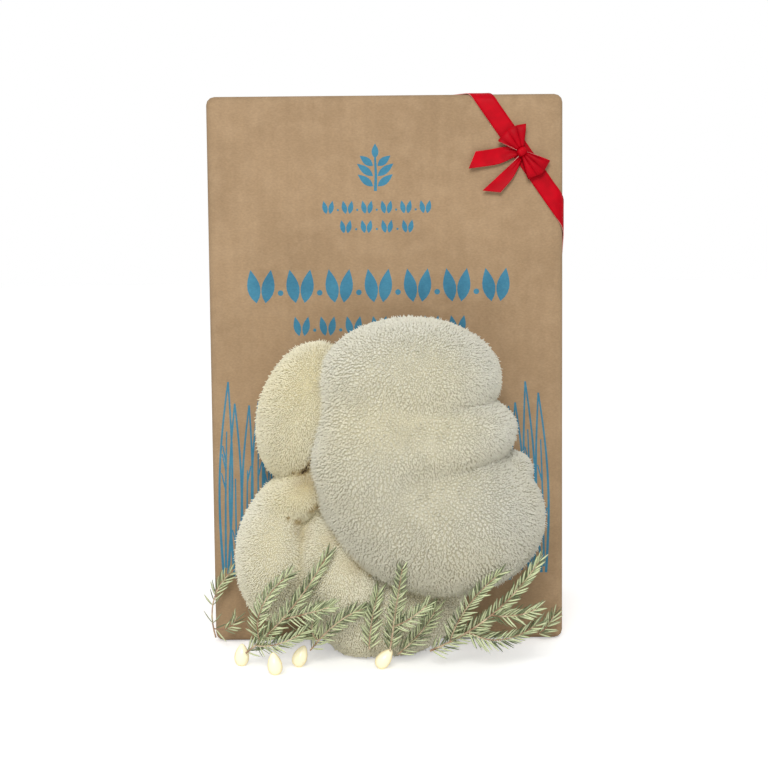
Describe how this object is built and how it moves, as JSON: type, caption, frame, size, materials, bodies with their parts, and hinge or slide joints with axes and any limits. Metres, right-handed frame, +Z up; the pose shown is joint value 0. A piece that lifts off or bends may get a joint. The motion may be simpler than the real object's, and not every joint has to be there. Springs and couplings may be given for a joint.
{
  "type": "mushroom grow kit",
  "caption": "Upright kraft carton with a pale lion's mane mushroom grown out of its front, a red corner ribbon with a bow, and evergreen sprigs with small bulbs at its foot.",
  "frame": {"origin": "bottom centre of the whole kit's box, on the surface that it stands on", "axes": "+Z up, +X to the right across the carton's front, -Y out of the front wall towards the viewer"},
  "size_m": [0.1788, 0.2102, 0.2707],
  "materials": {
    "kraft_board": "uncoated corrugated kraft board",
    "fungus_flesh": "matt, soft spines",
    "satin_ribbon": "satin",
    "spruce_foliage": "waxy needles on a brown twig",
    "bulb_glass": "frosted warm white",
    "bag_film": "thin clear film",
    "sawdust_block": "pressed sawdust grown through with white threads"
  },
  "bodies": {
    "root": {"carton": "kraft_board", "grow_bag": "bag_film", "substrate_block": "sawdust_block", "fruiting_body": "fungus_flesh", "ribbon": "satin_ribbon", "bow_knot": "satin_ribbon", "bow_loop_upper": "satin_ribbon", "bow_loop_lower": "satin_ribbon", "bow_tail_left": "satin_ribbon", "bow_tail_lower": "satin_ribbon", "light_bulb_1": "bulb_glass", "light_bulb_2": "bulb_glass", "light_bulb_3": "bulb_glass", "light_bulb_4": "bulb_glass", "sprig_left": "spruce_foliage", "sprig_left_shoot_1": "spruce_foliage", "sprig_left_shoot_2": "spruce_foliage", "sprig_left_shoot_3": "spruce_foliage", "sprig_middle": "spruce_foliage", "sprig_middle_shoot": "spruce_foliage", "sprig_small": "spruce_foliage", "sprig_centre": "spruce_foliage", "sprig_centre_shoot": "spruce_foliage", "sprig_low": "spruce_foliage", "sprig_right": "spruce_foliage", "sprig_right_shoot_1": "spruce_foliage", "sprig_right_shoot_2": "spruce_foliage", "sprig_right_shoot_3": "spruce_foliage", "sprig_edge": "spruce_foliage", "sprig_edge_shoot": "spruce_foliage", "sprig_corner": "spruce_foliage"}
  },
  "joints": []
}
